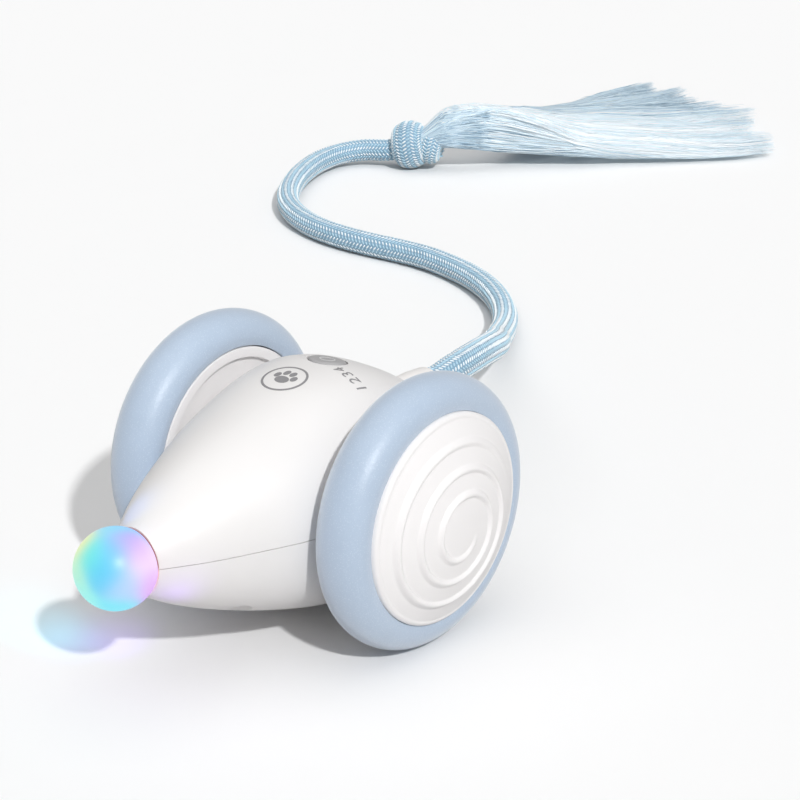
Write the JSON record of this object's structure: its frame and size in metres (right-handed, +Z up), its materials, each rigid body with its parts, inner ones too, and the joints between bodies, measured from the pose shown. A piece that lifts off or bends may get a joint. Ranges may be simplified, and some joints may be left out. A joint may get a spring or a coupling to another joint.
{
  "type": "robotic cat toy",
  "caption": "Self-driving mouse-shaped cat toy: teardrop shell between geared motor wheels, glowing nose ball, power button and a plug-in braided tail with tassel",
  "frame": {"origin": "on the floor under the middle of the toy's box, measured from the nose to the end of the tail sleeve, without the free tail", "axes": "-Y is the way the toy drives, nose first; +X is the toy's left; +Z is up from the floor"},
  "size_m": [0.2917, 0.5287, 0.07],
  "materials": {
    "shell_plastic": "satin moulded white",
    "tyre_rubber": "satin pale blue rubber",
    "nose_plastic": "translucent, lit from inside",
    "button_plastic": "matte grey",
    "sleeve_plastic": "satin white",
    "braided_cord": "braided polyester with white flecks",
    "tassel_yarn": "glossy loose yarn",
    "frame_plastic": "matte grey",
    "gear_plastic": "satin cream",
    "steel": "satin",
    "brass": "satin",
    "circuit_board": "matte green",
    "chip_plastic": "matte black",
    "battery_foil": "satin silver foil",
    "led_plastic": "clear white"
  },
  "bodies": {
    "chassis": {"upper_shell": "shell_plastic", "lower_shell": "shell_plastic", "shell_screw_front_left": "steel", "shell_screw_front_right": "steel", "shell_screw_rear_left": "steel", "shell_screw_rear_right": "steel", "nose_lens": "nose_plastic", "nose_retainer": "frame_plastic", "nose_light_board": "circuit_board", "nose_led": "led_plastic", "battery_tray": "frame_plastic", "battery_cell": "battery_foil", "main_board": "circuit_board", "control_chip": "chip_plastic", "motor_driver_chip": "chip_plastic", "motion_sensor": "chip_plastic", "button_switch": "chip_plastic", "board_screw_front": "steel", "board_screw_rear": "steel", "charge_board": "circuit_board", "charge_socket": "steel", "left_motor": "steel", "left_motor_end_cap": "gear_plastic", "left_gearbox_case": "frame_plastic", "left_gearbox_cover": "frame_plastic", "left_idler_pin": "steel", "left_axle_bush": "brass", "right_motor": "steel", "right_motor_end_cap": "gear_plastic", "right_gearbox_case": "frame_plastic", "right_gearbox_cover": "frame_plastic", "right_idler_pin": "steel", "right_axle_bush": "brass"},
    "left_wheel": {"left_tyre": "tyre_rubber", "left_rim": "shell_plastic", "left_hub_cap": "shell_plastic", "left_axle": "steel", "left_axle_screw": "steel", "left_drive_gear": "gear_plastic"},
    "left_idler": {"left_idler_gear": "gear_plastic"},
    "left_motor_rotor": {"left_motor_shaft": "steel", "left_motor_pinion": "brass"},
    "right_wheel": {"right_tyre": "tyre_rubber", "right_rim": "shell_plastic", "right_hub_cap": "shell_plastic", "right_axle": "steel", "right_axle_screw": "steel", "right_drive_gear": "gear_plastic"},
    "right_idler": {"right_idler_gear": "gear_plastic"},
    "right_motor_rotor": {"right_motor_shaft": "steel", "right_motor_pinion": "brass"},
    "button": {"power_button": "button_plastic"},
    "tail": {"tail_sleeve": "sleeve_plastic", "tail_cord": "braided_cord", "tail_knot": "braided_cord", "tail_tassel": "tassel_yarn"}
  },
  "joints": [
    {"name": "left_wheel_spin", "type": "hinge", "parent": "chassis", "child": "left_wheel", "pos_m": [0.03416, 0.01761, 0.035], "axis": [1, 0, 0], "continuous": true},
    {"name": "left_idler_spin", "type": "hinge", "parent": "chassis", "child": "left_idler", "pos_m": [0.0156, 0.02386, 0.02853], "axis": [1, 0, 0], "continuous": true},
    {"name": "left_motor_spin", "type": "hinge", "parent": "chassis", "child": "left_motor_rotor", "pos_m": [0.0152, 0.02034, 0.02024], "axis": [1, 0, 0], "continuous": true},
    {"name": "right_wheel_spin", "type": "hinge", "parent": "chassis", "child": "right_wheel", "pos_m": [-0.03416, 0.01761, 0.035], "axis": [1, 0, 0], "continuous": true},
    {"name": "right_idler_spin", "type": "hinge", "parent": "chassis", "child": "right_idler", "pos_m": [-0.0156, 0.02386, 0.02853], "axis": [1, 0, 0], "continuous": true},
    {"name": "right_motor_spin", "type": "hinge", "parent": "chassis", "child": "right_motor_rotor", "pos_m": [-0.0152, 0.02034, 0.02024], "axis": [1, 0, 0], "continuous": true},
    {"name": "power_button_press", "type": "slide", "parent": "chassis", "child": "button", "axis": [0, 0, -1], "range_m": [0, 0.0005], "stiffness_N_per_m": 300, "springref_m": -0.0005},
    {"name": "tail_pull_out", "type": "slide", "parent": "chassis", "child": "tail", "axis": [0, 1, 0], "range_m": [0, 0.015]}
  ],
  "couplings": [
    {"joint": "left_idler_spin", "follows": "left_wheel_spin", "ratio": -2.3333},
    {"joint": "left_motor_spin", "follows": "left_wheel_spin", "ratio": 6.4167},
    {"joint": "right_idler_spin", "follows": "right_wheel_spin", "ratio": -2.3333},
    {"joint": "right_motor_spin", "follows": "right_wheel_spin", "ratio": 6.4167}
  ]
}
